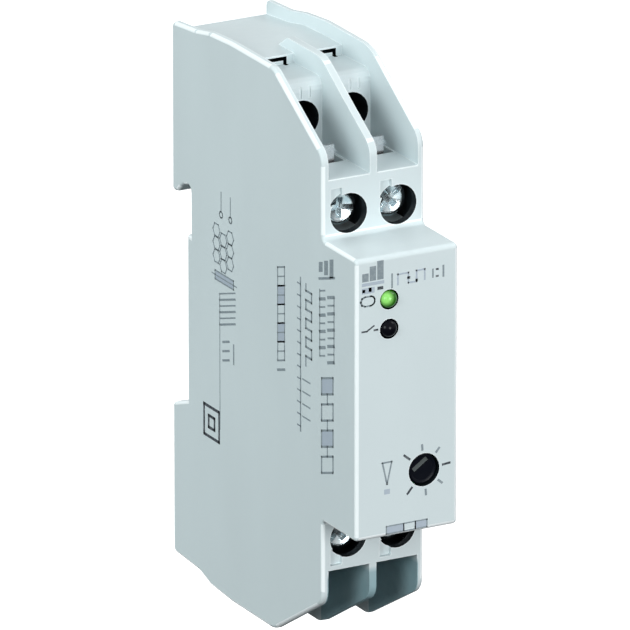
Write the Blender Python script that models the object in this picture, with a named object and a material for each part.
"""DIN rail timer, one module (17.5 mm) wide, with screw terminals top and bottom.

Row frame: +X to the right seen from the front, the front faces -Y, +Z is up. The origin is on the
plane that rests on the rail's flanges, in the middle of the rail's height and of the case's width.

The case is laid out by depth (mm from its back edge, towards the front) and height (mm above the
case's own middle). place() turns those into the row frame. All other values are in millimetres.
"""

import math

import bmesh
import bpy
from mathutils import Matrix, Vector

MM = 0.001

# Case
WIDTH = 17.5
HEIGHT = 90.2
DEPTH = 59.0
BODY_DEPTH = 48.4  # depth of the terminal faces
NOSE_HEIGHT = 45.0
CASE_DROP = 1.0  # the case's middle is this far below the rail's middle
RISE_LEFT = 0.3  # what the upper edge of the left wall gains on the case's half height
RISE_RIGHT = 1.3  # the same for the right wall
DROP_RIGHT = 0.75  # what the lower edge of the right wall gains
SEAT_DEPTH = 4.83  # depth of the face that rests on the rail
HOOK_DEPTH = 5.98  # depth of the slot behind the upper hook
WALL = 1.05  # side wall
RIB = 1.2  # rib between the two terminals of a row
EDGE_ROUND = 0.5  # outer edges of the side walls
FIN_ROUND = 0.32  # inner edges of the side walls and of the ribs
PANEL = ((0.0, 42.0), (7.6, 42.8), (12.2, 43.7))  # (depth, height) along the recessed panel's slope
PANEL_TOP = (19.0, 44.0)
PANEL_STEP = 24.3  # depth of the snap step at the panel's front
GAP = 0.15  # fit between pieces that touch
BEYOND = 60.0  # a height, or a depth, clear of the case
SIDE = WIDTH / 2

# Terminals
TERMINAL_X = 4.25
SCREW_HEIGHTS = {1: 26.2, -1: -25.8}  # upper and lower row
SCREW_HOLE_R = 3.15
HEAD_R = 2.8
HEAD_DEPTH = 45.7  # depth of the screw head's face
HEAD_THICK = 2.0
SHANK_R = 1.65
CAGE_HALF = 2.9
CAGE_TALL = 6.0
CAGE_BACK = 30.6
CAGE_FRONT = 39.2
BAR_DEPTH = 36.6
BAR_THICK = 0.8
LEDGE_TOP = 31.9
LEDGE_BOTTOM = -30.8
POCKET_DEPTH = 33.3  # depth of the pocket's back wall
PIT_FRONT = 41.2
PIT_HALF = 3.2
TONGUE_DEPTH = 39.7  # back of the guard tongue
SHELF_BACK = 39.5  # inner edge of the walls between the clamps and the board
SHELF_FRONT = 47.6
GUIDE_R = 3.1
GUIDE_ABOVE_LEDGE = 4.6
SLIT = 0.6  # width of the snap slits
GROOVE_DEEP = 0.2  # two guide grooves above each guide hole

# Nose
LED_X = -3.07
LED_HEIGHTS = {"power_led": 15.48, "relay_led": 10.8}
LED_R = 1.45
LED_HOLE_R = 1.6
LED_COLLAR = (54.2, 55.2)  # depths of the collar at the lamp's foot
LED_DOME = 58.45  # depth where the dome starts
DIAL_X = 2.97
DIAL_HEIGHT = -12.77
DIAL_R = 2.45
DIAL_HOLE_R = 2.65
DIAL_FACE = 58.55
DIAL_STEM_R = 1.5
DIAL_SLOT_ANGLE = 35.0  # degrees above the horizontal at rest

# Rail latch
LATCH_HALF = 6.9
LATCH_BACK = 1.6
LATCH_FRONT = 4.5
LATCH_TIP = -15.0  # height of the catch behind the rail's lower flange
LATCH_END = -42.4
SPRING_R = 1.35
SPRING_WIRE_R = 0.22
SPRING_TURNS = 7
SPRING_HEIGHTS = (-34.6, -24.2)

# Circuit board, in a plane parallel to the side walls
BOARD_LEFT = -5.5
BOARD_RIGHT = -3.9

# Relay: its cover, its coil, the pivot of its armature and its contacts
RELAY_DEPTHS = (9.0, 22.0)
RELAY_HEIGHTS = (-13.2, 14.2)
RELAY_WALL = 0.5
COIL_X = 1.6
COIL_DEPTH = 14.0
COIL_ENDS = (-9.6, 5.4)  # in the row frame
CORE_R = 1.2
WINDING_R = 3.0
IRON_DEPTHS = (10.5, 17.5)  # the armature's and the yoke's width
PIVOT_X = 5.55
PIVOT_HEIGHT = 6.75
CONTACT_X = 1.3
CONTACT_DEPTH = 19.7
CONTACT_GAP = 0.3  # between the open contacts

MATERIALS = {
    "housing_plastic": ((0.60, 0.67, 0.69), 0.42, 0.0),
    "latch_plastic": ((0.30, 0.33, 0.35), 0.45, 0.0),
    "galvanised_steel": ((0.62, 0.66, 0.70), 0.30, 1.0),
    "tinned_copper": ((0.78, 0.79, 0.80), 0.28, 1.0),
    "spring_steel": ((0.55, 0.56, 0.58), 0.30, 1.0),
    "board_laminate": ((0.06, 0.22, 0.09), 0.45, 0.0),
    "black_plastic": ((0.02, 0.02, 0.025), 0.35, 0.0),
    "relay_shell": ((0.05, 0.12, 0.30), 0.40, 0.0),
    "bobbin_plastic": ((0.75, 0.72, 0.62), 0.45, 0.0),
    "copper_winding": ((0.72, 0.30, 0.12), 0.35, 1.0),
    "soft_iron": ((0.45, 0.45, 0.46), 0.45, 1.0),
    "brass_contact": ((0.80, 0.62, 0.28), 0.30, 1.0),
    "green_lens": ((0.20, 0.80, 0.15), 0.15, 0.0),
    "dark_lens": ((0.03, 0.015, 0.02), 0.12, 0.0),
    "capacitor_sleeve": ((0.03, 0.04, 0.09), 0.40, 0.0),
    "film_case": ((0.70, 0.55, 0.10), 0.40, 0.0),
    "varistor_coat": ((0.10, 0.25, 0.55), 0.45, 0.0),
    "resistor_coat": ((0.45, 0.60, 0.62), 0.50, 0.0),
}


# ---------------------------------------------------------------- placing and shaping


def place(depth, height):
    """(y, z) in the row frame, still in mm, of a point of the case."""
    return SEAT_DEPTH - depth, height - CASE_DROP


def clear_scene():
    for obj in list(bpy.data.objects):
        bpy.data.objects.remove(obj, do_unlink=True)


def material(key):
    found = bpy.data.materials.get(key)
    if found:
        return found
    colour, roughness, metallic = MATERIALS[key]
    made = bpy.data.materials.new(key)
    made.use_nodes = True
    shader = made.node_tree.nodes["Principled BSDF"]
    shader.inputs["Base Color"].default_value = (*colour, 1.0)
    shader.inputs["Roughness"].default_value = roughness
    shader.inputs["Metallic"].default_value = metallic
    return made


def object_from(bm, name):
    """A linked object from a bmesh built in mm, with its faces turned outwards."""
    bmesh.ops.recalc_face_normals(bm, faces=bm.faces)
    bmesh.ops.scale(bm, vec=(MM, MM, MM), verts=bm.verts)
    mesh = bpy.data.meshes.new(name)
    bm.to_mesh(mesh)
    bm.free()
    obj = bpy.data.objects.new(name, mesh)
    bpy.context.scene.collection.objects.link(obj)
    return obj


def skin(loops):
    """A closed bmesh through loops of equal length, capped at both ends."""
    bm = bmesh.new()
    rings = [[bm.verts.new(point) for point in loop] for loop in loops]
    for low, high in zip(rings, rings[1:]):
        for i in range(len(low)):
            j = (i + 1) % len(low)
            bm.faces.new((low[i], low[j], high[j], high[i]))
    bm.faces.new(list(reversed(rings[0])))
    bm.faces.new(rings[-1])
    return bm


def rounded(corners, segments=4):
    """A (depth, height) outline from corners (depth, height, radius), as (y, z) points."""
    points = []
    count = len(corners)
    for i, (depth, height, radius) in enumerate(corners):
        here = Vector((depth, height))
        if radius == 0:
            points.append(place(*here))
            continue
        before = (Vector(corners[i - 1][:2]) - here).normalized()
        after = (Vector(corners[(i + 1) % count][:2]) - here).normalized()
        half = before.angle(after) / 2
        reach = radius / math.tan(half)
        centre = here + (before + after).normalized() * radius / math.sin(half)
        start = here + before * reach - centre
        sweep = (here + after * reach - centre).angle_signed(start)
        for step in range(segments + 1):
            turn = Matrix.Rotation(sweep * step / segments, 2)
            points.append(place(*(centre + turn @ start)))
    return points


def inset(points, distance):
    """The closed outline moved inwards by distance, corner by corner."""
    area = sum(p[0] * q[1] - q[0] * p[1] for p, q in zip(points, points[1:] + points[:1]))
    side = math.copysign(1.0, area)
    moved = []
    for i, point in enumerate(points):
        here = Vector(point)
        along_in = (here - Vector(points[i - 1])).normalized()
        along_out = (Vector(points[(i + 1) % len(points)]) - here).normalized()
        normal_in = Vector((-along_in.y, along_in.x)) * side
        normal_out = Vector((-along_out.y, along_out.x)) * side
        middle = (normal_in + normal_out).normalized()
        moved.append(tuple(here + middle * distance / middle.dot(normal_in)))
    return moved


def prism(name, outline, left, right, edge=0.0, steps=3):
    """An outline in the (y, z) plane, or a function of x that gives one, extruded from left to right.

    Its end edges are rounded by edge.
    """
    stations = [(left, 0.0), (right, 0.0)]
    if edge:
        turn = [math.pi / 2 * i / steps for i in range(steps + 1)]
        curve = [(edge * (1 - math.sin(t)), edge * (1 - math.cos(t))) for t in turn]
        stations = [(left + along, back) for back, along in curve]
        stations += [(right - along, back) for back, along in reversed(curve)]
    loops = []
    for x, back in stations:
        here = outline(x) if callable(outline) else outline
        ring = inset(here, back) if back > 1e-6 else here
        loops.append([(x, y, z) for y, z in ring])
    return object_from(skin(loops), name)


def box(name, x, depth, height):
    """A block from three (low, high) pairs: across, in depth and in height."""
    corners = [(depth[0], height[0]), (depth[1], height[0]), (depth[1], height[1]), (depth[0], height[1])]
    return prism(name, [place(*corner) for corner in corners], *x)


def turned(name, profile, x, height, sides=20):
    """A body turned about an axis that runs from back to front, from (depth, radius) pairs."""
    loops = []
    for depth, radius in profile:
        y, z = place(depth, height)
        angles = [2 * math.pi * (i + 0.5) / sides for i in range(sides)]
        loops.append([(x + radius * math.cos(a), y, z + radius * math.sin(a)) for a in angles])
    return object_from(skin(loops), name)


def rod(name, axis, centre, radius, low, high, sides=16):
    """A round bar along the row axis named by axis, between low and high on it, in row mm."""
    first, second = [i for i in range(3) if i != axis]
    loops = []
    for along in (low, high):
        ring = []
        for i in range(sides):
            angle = 2 * math.pi * (i + 0.5) / sides
            point = [along, along, along]
            point[first] = centre[0] + radius * math.cos(angle)
            point[second] = centre[1] + radius * math.sin(angle)
            ring.append(tuple(point))
        loops.append(ring)
    return object_from(skin(loops), name)


def combine(target, tools, operation):
    """Applies the Booleans of tools to target one after another, and removes the tools."""
    for tool in tools:
        modifier = target.modifiers.new("fit", "BOOLEAN")
        modifier.operation = operation
        modifier.solver = "EXACT"
        modifier.object = tool
        graph = bpy.context.evaluated_depsgraph_get()
        made = bpy.data.meshes.new_from_object(target.evaluated_get(graph))
        target.modifiers.clear()
        target.data = made
        bpy.data.objects.remove(tool, do_unlink=True)
    return target


def cut(target, *tools):
    return combine(target, tools, "DIFFERENCE")


def join(target, *tools):
    return combine(target, tools, "UNION")


def finish(obj, key, smooth=35.0):
    obj.data.materials.clear()
    obj.data.materials.append(material(key))
    obj.data.shade_smooth()
    obj.data.set_sharp_from_angle(angle=math.radians(smooth))
    return obj


def set_origin(obj, x, y, z):
    """Moves the object's origin to a point of its joint's axis, in row mm."""
    point = Vector((x, y, z)) * MM
    obj.data.transform(Matrix.Translation(-point))
    obj.location = point
    return obj


def turn_about_y(obj, x, z, degrees):
    """Turns the mesh about the axis through (x, z), clockwise seen from the front."""
    to_axis = Matrix.Translation(Vector((x, 0, z)) * MM)
    spin = Matrix.Rotation(math.radians(degrees), 4, "Y")
    obj.data.transform(to_axis @ spin @ to_axis.inverted())
    return obj


# ---------------------------------------------------------------- case


def case_outline(x):
    """Silhouette in the plane x: hook and rail slot at the back, chamfered shoulders, nose."""
    share = (x + SIDE) / WIDTH
    rise = RISE_LEFT + (RISE_RIGHT - RISE_LEFT) * share
    drop = DROP_RIGHT * share
    nose = NOSE_HEIGHT / 2
    top = HEIGHT / 2
    shoulder = top - 9.4
    knee = 4.0 + 4.0 * share
    return rounded(
        [
            (0, 43.1 + rise, 1.0),
            (7.6, 43.9 + rise * 0.7, 6.0),
            (12.2, 44.8 + rise * 0.7, 6.0),
            (19.0, top + rise, 0),
            (32.7, top + rise, knee),
            (BODY_DEPTH, shoulder + rise / 2, 3.0),
            (BODY_DEPTH, nose, 0.8),
            (DEPTH, nose, 0.8),
            (DEPTH, -nose, 0.7),
            (BODY_DEPTH, -nose, 0.6),
            (BODY_DEPTH, -shoulder - drop, 3.0),
            (32.7, -top - drop / 2, 4.0),
            (19.0, -top - drop / 2, 0),
            (12.2, -44.6 - drop / 2, 6.0),
            (8.4, -43.4, 5.0),
            (0, -42.9, 1.0),
            (0, -18.4, 0.7),
            (SEAT_DEPTH, -16.73, 0),
            (SEAT_DEPTH, 10.3, 0),
            (HOOK_DEPTH, 10.3, 0),
            (HOOK_DEPTH, 18.65, 0.8),
            (3.2, 17.9, 3.0),
            (1.6, 16.4, 0.6),
            (0, 16.15, 0.7),
        ]
    )


def cavity_outline():
    """The hollow for the board and the clamps, open towards the side cover."""
    points = [
        (7.4, -18.5),
        (7.4, 20.2),
        (1.5, 20.2),
        (1.5, 40.6),
        (27.0, 41.1),
        (27.0, 30.2),
        (47.0, 30.2),
        (47.0, 21.0),
        (57.6, 21.0),
        (57.6, -21.0),
        (47.0, -21.0),
        (47.0, -29.3),
        (27.0, -29.3),
        (27.0, -41.1),
        (6.6, -41.1),
        (6.6, -18.5),
    ]
    return [place(*point) for point in points]


def terminal_corners():
    """(side, end, height of the screw axis in the case, ledge) of each terminal."""
    for end, ledge in ((1, LEDGE_TOP), (-1, LEDGE_BOTTOM)):
        for side in (-1, 1):
            yield side, end, SCREW_HEIGHTS[end], ledge


def compartment_cutter(side, end, ledge):
    """What is open between a side wall and the rib: recessed panel, snap step and wire pocket."""
    far = end * BEYOND
    corners = [(-5.0, end * PANEL[0][1], 0)]
    corners += [(depth, end * height, 0) for depth, height in (*PANEL, PANEL_TOP)]
    corners += [
        (PANEL_STEP, end * PANEL_TOP[1], 0),
        (PANEL_STEP, end * 42.5, 0),
        (POCKET_DEPTH, end * 42.8, 1.8),
        (POCKET_DEPTH, ledge, 0.5),
        (BODY_DEPTH, ledge, 0.5),
        (BODY_DEPTH + 0.6, ledge - end * 1.1, 0),
        (BODY_DEPTH + 5.0, ledge - end * 1.1, 0),
        (BODY_DEPTH + 5.0, far, 0),
        (-5.0, far, 0),
    ]
    outline = rounded(corners)
    if side < 0:
        return prism("compartment", outline, -(SIDE - WALL), -RIB / 2)
    return prism("compartment", outline, RIB / 2, SIDE - WALL)


def back_recess_cutter(end):
    """The recessed panel runs across the whole width behind the ribs."""
    far = end * BEYOND
    corners = [(-5.0, end * PANEL[0][1])] + [(depth, end * height) for depth, height in PANEL]
    corners += [(19.4, end * 43.99), (24.0, end * 47.0), (24.0, far), (-5.0, far)]
    inner = SIDE - WALL
    return prism("back_recess", [place(*corner) for corner in corners], -inner, inner)


def pocket_cutters(side, end, height, ledge):
    """Pit behind the ledge, guide hole, guide grooves, screw hole with its notch, snap slits."""
    x = side * TERMINAL_X
    pit = sorted((ledge + end * 0.5, height + end * 2.0))
    yield box("pit", (x - PIT_HALF, x + PIT_HALF), (POCKET_DEPTH + 0.01, PIT_FRONT), pit)
    guide = ledge + end * GUIDE_ABOVE_LEDGE
    yield turned("guide", [(26.0, GUIDE_R), (POCKET_DEPTH + 1, GUIDE_R)], x, guide, 24)
    for groove in (x, x + 1.55):
        across = (groove - 0.18, groove + 0.18)
        reach = sorted((guide + end * 3.4, guide + end * 5.2))
        yield box("groove", across, (POCKET_DEPTH - GROOVE_DEEP, POCKET_DEPTH + 2), reach)
    yield turned("screw_hole", [(46.0, SCREW_HOLE_R), (BODY_DEPTH + 1, SCREW_HOLE_R)], x, height, 28)
    low, high = sorted((height + end * 1.5, height + end * 4.2))
    yield box("notch", (x - 3.1, x - 1.1), (BODY_DEPTH - 0.7, BODY_DEPTH + 1), (low, high))
    step = end * 43.7
    right = x + 2.4
    slit_depth = (21.8, 25.0)
    yield box("slit", (x - 1.15, right), slit_depth, sorted((step, step - end * SLIT)))
    tail = sorted((step - end * 0.2, step - end * 1.6))
    yield box("slit", (right - SLIT, right), slit_depth, tail)


def round_fins(shell):
    """Rounds the inner edges of the side walls and the ribs where they stand proud."""
    bm = bmesh.new()
    bm.from_mesh(shell.data)
    bmesh.ops.dissolve_limit(
        bm, angle_limit=math.radians(0.5), verts=bm.verts, edges=bm.edges, delimit=set()
    )
    planes = [sign * x for x in (SIDE - WALL, RIB / 2) for sign in (-1, 1)]
    outlines = {x: [Vector(point) for point in case_outline(x)] for x in planes}
    limit = math.radians(60)

    def plane_of(point):
        """The wall or rib face that the point lies on, or None."""
        for x in planes:
            if abs(point.x / MM - x) < 1e-3:
                return x
        return None

    def on_outline(point, x):
        flat = Vector((point.y / MM, point.z / MM))
        outline = outlines[x]
        for a, b in zip(outline, outline[1:] + outline[:1]):
            along = b - a
            t = max(0.0, min(1.0, (flat - a).dot(along) / along.length_squared))
            if (flat - a - along * t).length < 0.01:
                return True
        return False

    chosen = []
    for edge in bm.edges:
        a, b = edge.verts[0].co, edge.verts[1].co
        x = plane_of(a)
        if x is None or plane_of(b) != x:
            continue
        if not edge.is_convex or edge.calc_face_angle(0) < limit:
            continue
        if on_outline(a, x) and on_outline(b, x) and on_outline((a + b) / 2, x):
            chosen.append(edge)
    bmesh.ops.bevel(
        bm, geom=chosen, offset=FIN_ROUND * MM, segments=2, profile=0.5, affect="EDGES", clamp_overlap=True
    )
    bm.to_mesh(shell.data)
    bm.free()
    return shell


def housing_shell():
    """Moulded case: side walls, panels, terminal faces and nose in one piece, open at the right."""
    shell = prism("housing_shell", case_outline, -SIDE, SIDE, EDGE_ROUND)
    for side, end, _, ledge in terminal_corners():
        cut(shell, compartment_cutter(side, end, ledge))
    cut(shell, back_recess_cutter(1), back_recess_cutter(-1))
    round_fins(shell)
    cut(shell, latch_recess_cutter())
    cut(shell, prism("cavity", cavity_outline(), -(SIDE - WALL), SIDE - WALL - 0.1))
    cut(shell, prism("rebate", inset(cavity_outline(), -0.8), SIDE - WALL - 0.1, SIDE + 1))
    for side, end, height, ledge in terminal_corners():
        cut(shell, *pocket_cutters(side, end, height, ledge))
    for height in LED_HEIGHTS.values():
        cut(shell, turned("led_hole", [(56, LED_HOLE_R), (BEYOND, LED_HOLE_R)], LED_X, height))
    cut(shell, turned("dial_hole", [(56, DIAL_HOLE_R), (BEYOND, DIAL_HOLE_R)], DIAL_X, DIAL_HEIGHT, 28))
    join(shell, *shell_inside())
    return finish(shell, "housing_plastic")


def latch_recess_cutter():
    half = LATCH_HALF + 0.3
    return box("latch_recess", (-half, half), (-2.0, SEAT_DEPTH), (-50.0, -15.9))


def shell_inside():
    """Walls round the clamps, posts under the board, and the latch's strap and peg."""
    for low, high in ((22.2, 31.0), (-30.3, -21.8)):
        yield box("partition", (-RIB / 2, RIB / 2), (29.0, SHELF_FRONT), (low, high))
    for low, high in ((21.6, 22.4), (-22.2, -21.4)):
        yield box("shelf", (-(SIDE - WALL / 2), SIDE - WALL - 0.25), (SHELF_BACK, SHELF_FRONT), (low, high))
    for depth, height in ((26.0, 14.0), (26.0, -16.0), (44.0, 0.0)):
        y, z = place(depth, height)
        yield rod("post", 0, (y, z), 1.3, -(SIDE - WALL / 2), BOARD_LEFT - GAP, 12)
    strap = LATCH_HALF + 0.6
    yield box("strap", (-strap, strap), (0.35, LATCH_BACK - 0.3), (-33.0, -27.0))
    yield box("peg", (-1.6, 1.6), (LATCH_BACK + 0.3, SEAT_DEPTH + 0.5), (-36.2, -34.8))


def side_cover():
    """Plate that closes the case at the right, flush with its side, with four snap pegs."""
    outline = inset(cavity_outline(), -0.8 + GAP)
    inner = SIDE - WALL - 0.1 + GAP
    cover = prism("side_cover", outline, inner, SIDE)
    for depth, height in ((9.5, 36.5), (23.0, 36.5), (9.5, -37.0), (23.0, -37.0)):
        y, z = place(depth, height)
        join(cover, rod("peg", 0, (y, z), 1.0, inner - 2.6, inner + 0.5, 12))
    return finish(cover, "housing_plastic")


# ---------------------------------------------------------------- rail latch


def rail_latch():
    """Sliding foot: catch at the top, window for its spring, slot for a screwdriver."""
    corners = [
        (LATCH_BACK, LATCH_TIP - 1.6, 0.3),
        (3.5, LATCH_TIP, 0.3),
        (3.5, -17.0, 0),
        (LATCH_FRONT, -17.0, 0),
        (LATCH_FRONT, LATCH_END, 0.5),
        (LATCH_BACK, LATCH_END, 0.5),
    ]
    latch = prism("rail_latch", rounded(corners), -LATCH_HALF, LATCH_HALF, 0.25, 2)
    cut(latch, box("window", (-2.4, 2.4), (0, 6), (-36.5, -24.0)))
    cut(latch, box("driver_slot", (-2.6, 2.6), (0, 6), (-40.9, -38.9)))
    for side in (-1, 1):
        cut(latch, box("relief", sorted((side * 4.2, side * 5.2)), (0, 6), (-36.0, -26.0)))
    return finish(latch, "latch_plastic")


def latch_spring():
    """Compression spring in the latch's window, standing on the case's peg."""
    per_turn = 12
    sides = 6
    low = place(0, SPRING_HEIGHTS[0])[1] + SPRING_WIRE_R
    high = place(0, SPRING_HEIGHTS[1])[1] - SPRING_WIRE_R
    y = place((LATCH_BACK + LATCH_FRONT) / 2 + 0.1, 0)[0]
    count = SPRING_TURNS * per_turn
    loops = []
    for i in range(count + 1):
        angle = 2 * math.pi * i / per_turn
        rise = i / count
        z = low + (high - low) * rise
        ring = []
        for j in range(sides):
            turn = 2 * math.pi * j / sides
            out = SPRING_R + SPRING_WIRE_R * math.cos(turn)
            up = z + SPRING_WIRE_R * math.sin(turn)
            ring.append((out * math.cos(angle), y + out * math.sin(angle), up))
        loops.append(ring)
    return finish(object_from(skin(loops), "latch_spring"), "spring_steel", 60)


# ---------------------------------------------------------------- terminals


def terminal_name(side, end):
    return f"{'top' if end > 0 else 'bottom'}_{'left' if side < 0 else 'right'}"


def terminal_screw(side, end, height):
    """Clamp screw with a slotted cross head, its axis from back to front."""
    x = side * TERMINAL_X
    tip = BAR_DEPTH + BAR_THICK + 0.3
    under = HEAD_DEPTH - HEAD_THICK
    profile = [
        (tip, 1.1),
        (tip + 0.5, SHANK_R),
        (under, SHANK_R),
        (under + 0.02, HEAD_R),
        (HEAD_DEPTH - 0.45, HEAD_R),
        (HEAD_DEPTH - 0.12, HEAD_R - 0.18),
        (HEAD_DEPTH, HEAD_R - 0.55),
    ]
    name = f"screw_{terminal_name(side, end)}"
    screw = turned(name, profile, x, height, 24)
    cut(screw, box("slot", (x - 3, x + 3), (HEAD_DEPTH - 0.9, 47), (height - 0.38, height + 0.38)))
    cut(screw, box("cross", (x - 0.5, x + 0.5), (HEAD_DEPTH - 1.1, 47), (height - 1.6, height + 1.6)))
    y, z = place(HEAD_DEPTH, height)
    turn_about_y(screw, x, z, {(-1, 1): 4, (1, 1): -42, (-1, -1): -33, (1, -1): 12}[side, end])
    set_origin(screw, x, y, z)
    return finish(screw, "galvanised_steel")


def clamp_cage(side, end, height):
    """Clamp that the screw draws forward: a ring round the contact bar and the wire."""
    x = side * TERMINAL_X
    tall = (height - CAGE_TALL / 2, height + CAGE_TALL / 2)
    name = f"cage_{terminal_name(side, end)}"
    cage = box(name, (x - CAGE_HALF, x + CAGE_HALF), (CAGE_BACK, CAGE_FRONT), tall)
    window = (CAGE_BACK + 1.0, CAGE_FRONT - 1.6)
    cut(cage, box("window", (x - 2.2, x + 2.2), window, (tall[0] - 1, tall[1] + 1)))
    cut(cage, turned("thread", [(37.0, SHANK_R + 0.15), (40.0, SHANK_R + 0.15)], x, height, 24))
    y, z = place(CAGE_FRONT, height)
    set_origin(cage, x, y, z)
    return finish(cage, "galvanised_steel")


def contact_bar(side, end, height, ledge):
    """Bent strip: bar inside the clamp, guard tongue in the pit, and a leg to the board."""
    x = side * TERMINAL_X
    front = BAR_DEPTH + BAR_THICK
    tongue = TONGUE_DEPTH
    bend = ledge - end * 0.8
    tip = ledge + end * 2.6

    def span(low, high):
        """Heights low and high beyond the screw axis, towards the case's middle."""
        return tuple(sorted((height - end * low, height - end * high)))

    foot = height - end * (3.7 if side < 0 else 5.6)
    strip = [
        (BAR_DEPTH, foot),
        (BAR_DEPTH, bend),
        (tongue, bend),
        (tongue, tip),
        (tongue + BAR_THICK, tip),
        (tongue + BAR_THICK, bend - end * BAR_THICK),
        (front, bend - end * BAR_THICK),
        (front, foot),
    ]
    name = f"contact_{terminal_name(side, end)}"
    bar = prism(name, [place(*p) for p in strip], x - 1.8, x + 1.8)
    hook = [(x + 1.5, 0.7), (x + 2.35, 1.4), (x + 1.5, 2.5)]
    loops = []
    for depth in (tongue + 0.02, tongue + BAR_THICK - 0.02):
        loops.append([(hx, *place(depth, ledge + end * above)) for hx, above in hook])
    join(bar, object_from(skin(loops), "hook"))
    near = BOARD_RIGHT + GAP
    if side < 0:
        join(bar, box("strip", (near, x + 1.7), (30.5, front - 0.1), span(3.5, 4.3)))
        join(bar, box("foot", (near, near + 1.0), (30.6, 31.4), span(3.7, 8.2)))
    else:
        join(bar, box("arm", (near, x - 1.0), (BAR_DEPTH + 0.1, front - 0.1), span(4.7, 5.5)))
        join(bar, box("foot", (near, near + 0.8), (BAR_DEPTH + 0.05, front - 0.05), span(4.8, 8.2)))
    return finish(bar, "tinned_copper")


# ---------------------------------------------------------------- nose


def led(name, height, key):
    """3 mm lamp: domed lens with a collar, and two legs back to the board."""
    foot, collar = LED_COLLAR
    profile = [(foot, LED_R + 0.3), (collar, LED_R + 0.3), (collar + 0.02, LED_R), (LED_DOME, LED_R)]
    for step in (1, 2, 3):
        angle = math.radians(26 * step)
        profile.append((LED_DOME + LED_R * math.sin(angle), LED_R * math.cos(angle)))
    lamp = turned(name, profile, LED_X, height, 20)
    for offset in (-0.9, 0.9):
        leg = (height + offset - 0.25, height + offset + 0.25)
        join(lamp, box("leg", (LED_X - 0.45, LED_X + 0.05), (48.0, 54.6), leg))
    return finish(lamp, key)


def potentiometer():
    """Body of the time adjuster, with three legs to the board and a bore for the rotor."""
    low, high = DIAL_HEIGHT - 3.4, DIAL_HEIGHT + 3.4
    body = box("potentiometer", (DIAL_X - 3.4, DIAL_X + 3.4), (51.5, 57.2), (low, high))
    for offset in (-2.5, 0, 2.5):
        leg = (DIAL_HEIGHT + offset - 0.3, DIAL_HEIGHT + offset + 0.3)
        join(body, box("leg", (BOARD_RIGHT + GAP, DIAL_X - 3.0), (52.0, 52.5), leg))
        join(body, box("leg", (BOARD_RIGHT + GAP, BOARD_RIGHT + 0.65), (49.0, 52.5), leg))
    bore = DIAL_STEM_R + 0.1
    cut(body, turned("bore", [(53.0, bore), (58.0, bore)], DIAL_X, DIAL_HEIGHT, 20))
    return finish(body, "board_laminate")


def adjuster_rotor():
    """Rotor of the time adjuster: stem in the body's bore, slotted face in the nose's hole."""
    profile = [
        (53.3, DIAL_STEM_R),
        (57.35, DIAL_STEM_R),
        (57.37, DIAL_R),
        (DIAL_FACE - 0.25, DIAL_R),
        (DIAL_FACE, DIAL_R - 0.25),
    ]
    rotor = turned("adjuster_rotor", profile, DIAL_X, DIAL_HEIGHT, 28)
    slot = (DIAL_X - 2.0, DIAL_X + 2.6)
    cut(rotor, box("slot", slot, (DIAL_FACE - 0.8, BEYOND), (DIAL_HEIGHT - 0.4, DIAL_HEIGHT + 0.4)))
    y, z = place(DIAL_FACE, DIAL_HEIGHT)
    turn_about_y(rotor, DIAL_X, z, -DIAL_SLOT_ANGLE)
    set_origin(rotor, DIAL_X, y, z)
    return finish(rotor, "black_plastic")


# ---------------------------------------------------------------- board and relay


def circuit_board():
    board = box("circuit_board", (BOARD_LEFT, BOARD_RIGHT), (8.5, 51.0), (-19.3, 20.3))
    return finish(board, "board_laminate")


def contact_rivet(low, high):
    """Round contact tip between two heights of the case."""
    centre = (CONTACT_X, place(CONTACT_DEPTH, 0)[0])
    return rod("rivet", 2, centre, 0.8, low - CASE_DROP, high - CASE_DROP, 12)


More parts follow.
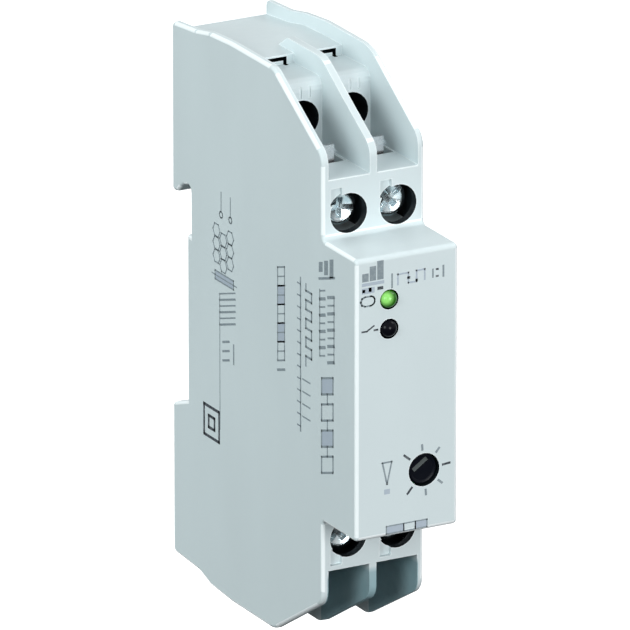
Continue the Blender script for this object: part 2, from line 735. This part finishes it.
def relay_pieces():
    """Relay: base, cover, bobbin, winding, core, yoke, fixed contact, and what its armature moves."""
    coil_y = place(COIL_DEPTH, 0)[0]
    finish(box("relay_base", (-3.7, -2.5), (9.2, 21.8), (-13.0, 14.0)), "black_plastic")

    right = 7.15
    cover = box("relay_cover", (-2.3, right), RELAY_DEPTHS, RELAY_HEIGHTS)
    inner = [(low + RELAY_WALL, high - RELAY_WALL) for low, high in (RELAY_DEPTHS, RELAY_HEIGHTS)]
    cut(cover, box("inside", (-4.0, right - RELAY_WALL), *inner))
    finish(cover, "relay_shell")

    low, high = COIL_ENDS
    bobbin = rod("relay_bobbin", 2, (COIL_X, coil_y), 1.75, low, high)
    for z in (low, high - 0.8):
        height = z + CASE_DROP
        flange = box("flange", (COIL_X - 3.1, COIL_X + 3.1), (10.9, 17.1), (height, height + 0.8))
        join(bobbin, flange)
    cut(bobbin, rod("hole", 2, (COIL_X, coil_y), CORE_R + GAP, low - 1, high + 1))
    finish(bobbin, "bobbin_plastic")

    winding = rod("relay_winding", 2, (COIL_X, coil_y), WINDING_R, low + 1.0, high - 1.0, 24)
    cut(winding, rod("hole", 2, (COIL_X, coil_y), 1.95, low, high))
    finish(winding, "copper_winding")

    core = rod("relay_core", 2, (COIL_X, coil_y), CORE_R, low - 0.6, high + 0.2)
    finish(core, "soft_iron")

    yoke = box("relay_yoke", (5.0, 6.1), IRON_DEPTHS, (-10.9, PIVOT_HEIGHT - GAP))
    join(yoke, box("base", (COIL_X - 2.0, 5.5), (10.6, 17.4), (-10.9, -9.5)))
    finish(yoke, "soft_iron")

    plate = (PIVOT_HEIGHT + GAP, PIVOT_HEIGHT + 1.15)
    armature = box("relay_armature", (-1.6, 6.1), IRON_DEPTHS, plate)
    finish(set_origin(armature, PIVOT_X, coil_y, PIVOT_HEIGHT - CASE_DROP), "soft_iron")

    top = PIVOT_HEIGHT + 1.45
    tip = top - 1.05
    blade = box("contact_blade", (0.1, 2.5), (11.2, 21.0), (top, top + 0.25))
    join(blade, contact_rivet(tip, top + 0.1))
    finish(set_origin(blade, PIVOT_X, coil_y, PIVOT_HEIGHT - CASE_DROP), "brass_contact")

    rest = tip - CONTACT_GAP
    fixed = box("fixed_contact", (-2.2, 2.3), (18.7, 20.7), (rest - 1.0, rest - 0.4))
    join(fixed, contact_rivet(rest - 0.6, rest))
    join(fixed, box("leg", (-2.2, -1.6), (18.8, 20.6), (-8.0, rest - 0.5)))
    finish(fixed, "brass_contact")


# ---------------------------------------------------------------- parts on the board


def board_parts():
    """Supply and timing parts, each standing just off the board."""
    face = BOARD_RIGHT + GAP
    can_y = place(28.5, 0)[0]
    can = rod("smoothing_capacitor", 2, (face + 4.0, can_y), 4.0, -16.0, -4.5, 24)
    groove = rod("groove_outer", 2, (face + 4.0, can_y), 4.5, -6.6, -6.1, 24)
    cut(groove, rod("groove_inner", 2, (face + 4.0, can_y), 3.7, -7.5, -5.5, 24))
    finish(cut(can, groove), "capacitor_sleeve")

    dropper = box("dropper_capacitor", (face, face + 9.5), (36.0, 42.0), (-14.0, 4.0))
    finish(dropper, "film_case")

    disc = rod("varistor", 1, (face + 4.2, 13.5), 3.6, place(29.5, 0)[0], place(26.3, 0)[0], 20)
    finish(disc, "varistor_coat")

    z = place(0, 15.0)[1]
    resistor = rod("dropper_resistor", 1, (face + 1.9, z), 1.5, place(45.5, 0)[0], place(38.5, 0)[0])
    lead = rod("lead", 1, (face + 1.9, z), 0.35, place(47.0, 0)[0], place(37.0, 0)[0], 8)
    finish(join(resistor, lead), "resistor_coat")

    bridge = box("bridge_rectifier", (face, face + 3.2), (24.5, 31.5), (0.0, 5.0))
    finish(bridge, "black_plastic")

    chip = box("timer_chip", (face + 0.25, face + 1.8), (44.5, 48.5), (-8.0, -1.0))
    for row in range(4):
        height = -7.3 + row * 1.9
        join(chip, box("legs", (face, face + 0.8), (43.4, 49.6), (height - 0.25, height + 0.25)))
    finish(chip, "black_plastic")

    transistor = rod("relay_driver", 0, (place(26.5, 0)[0], 6.9), 2.0, face + 0.3, face + 4.5)
    cut(transistor, box("flat", (face - 1, face + 6), (27.6, 30.0), (4.0, 12.0)))
    finish(transistor, "black_plastic")


def main():
    clear_scene()
    housing_shell()
    side_cover()
    rail_latch()
    latch_spring()
    for side, end, height, ledge in terminal_corners():
        terminal_screw(side, end, height)
        clamp_cage(side, end, height)
        contact_bar(side, end, height, ledge)
    led("power_led", LED_HEIGHTS["power_led"], "green_lens")
    led("relay_led", LED_HEIGHTS["relay_led"], "dark_lens")
    potentiometer()
    adjuster_rotor()
    circuit_board()
    relay_pieces()
    board_parts()


main()
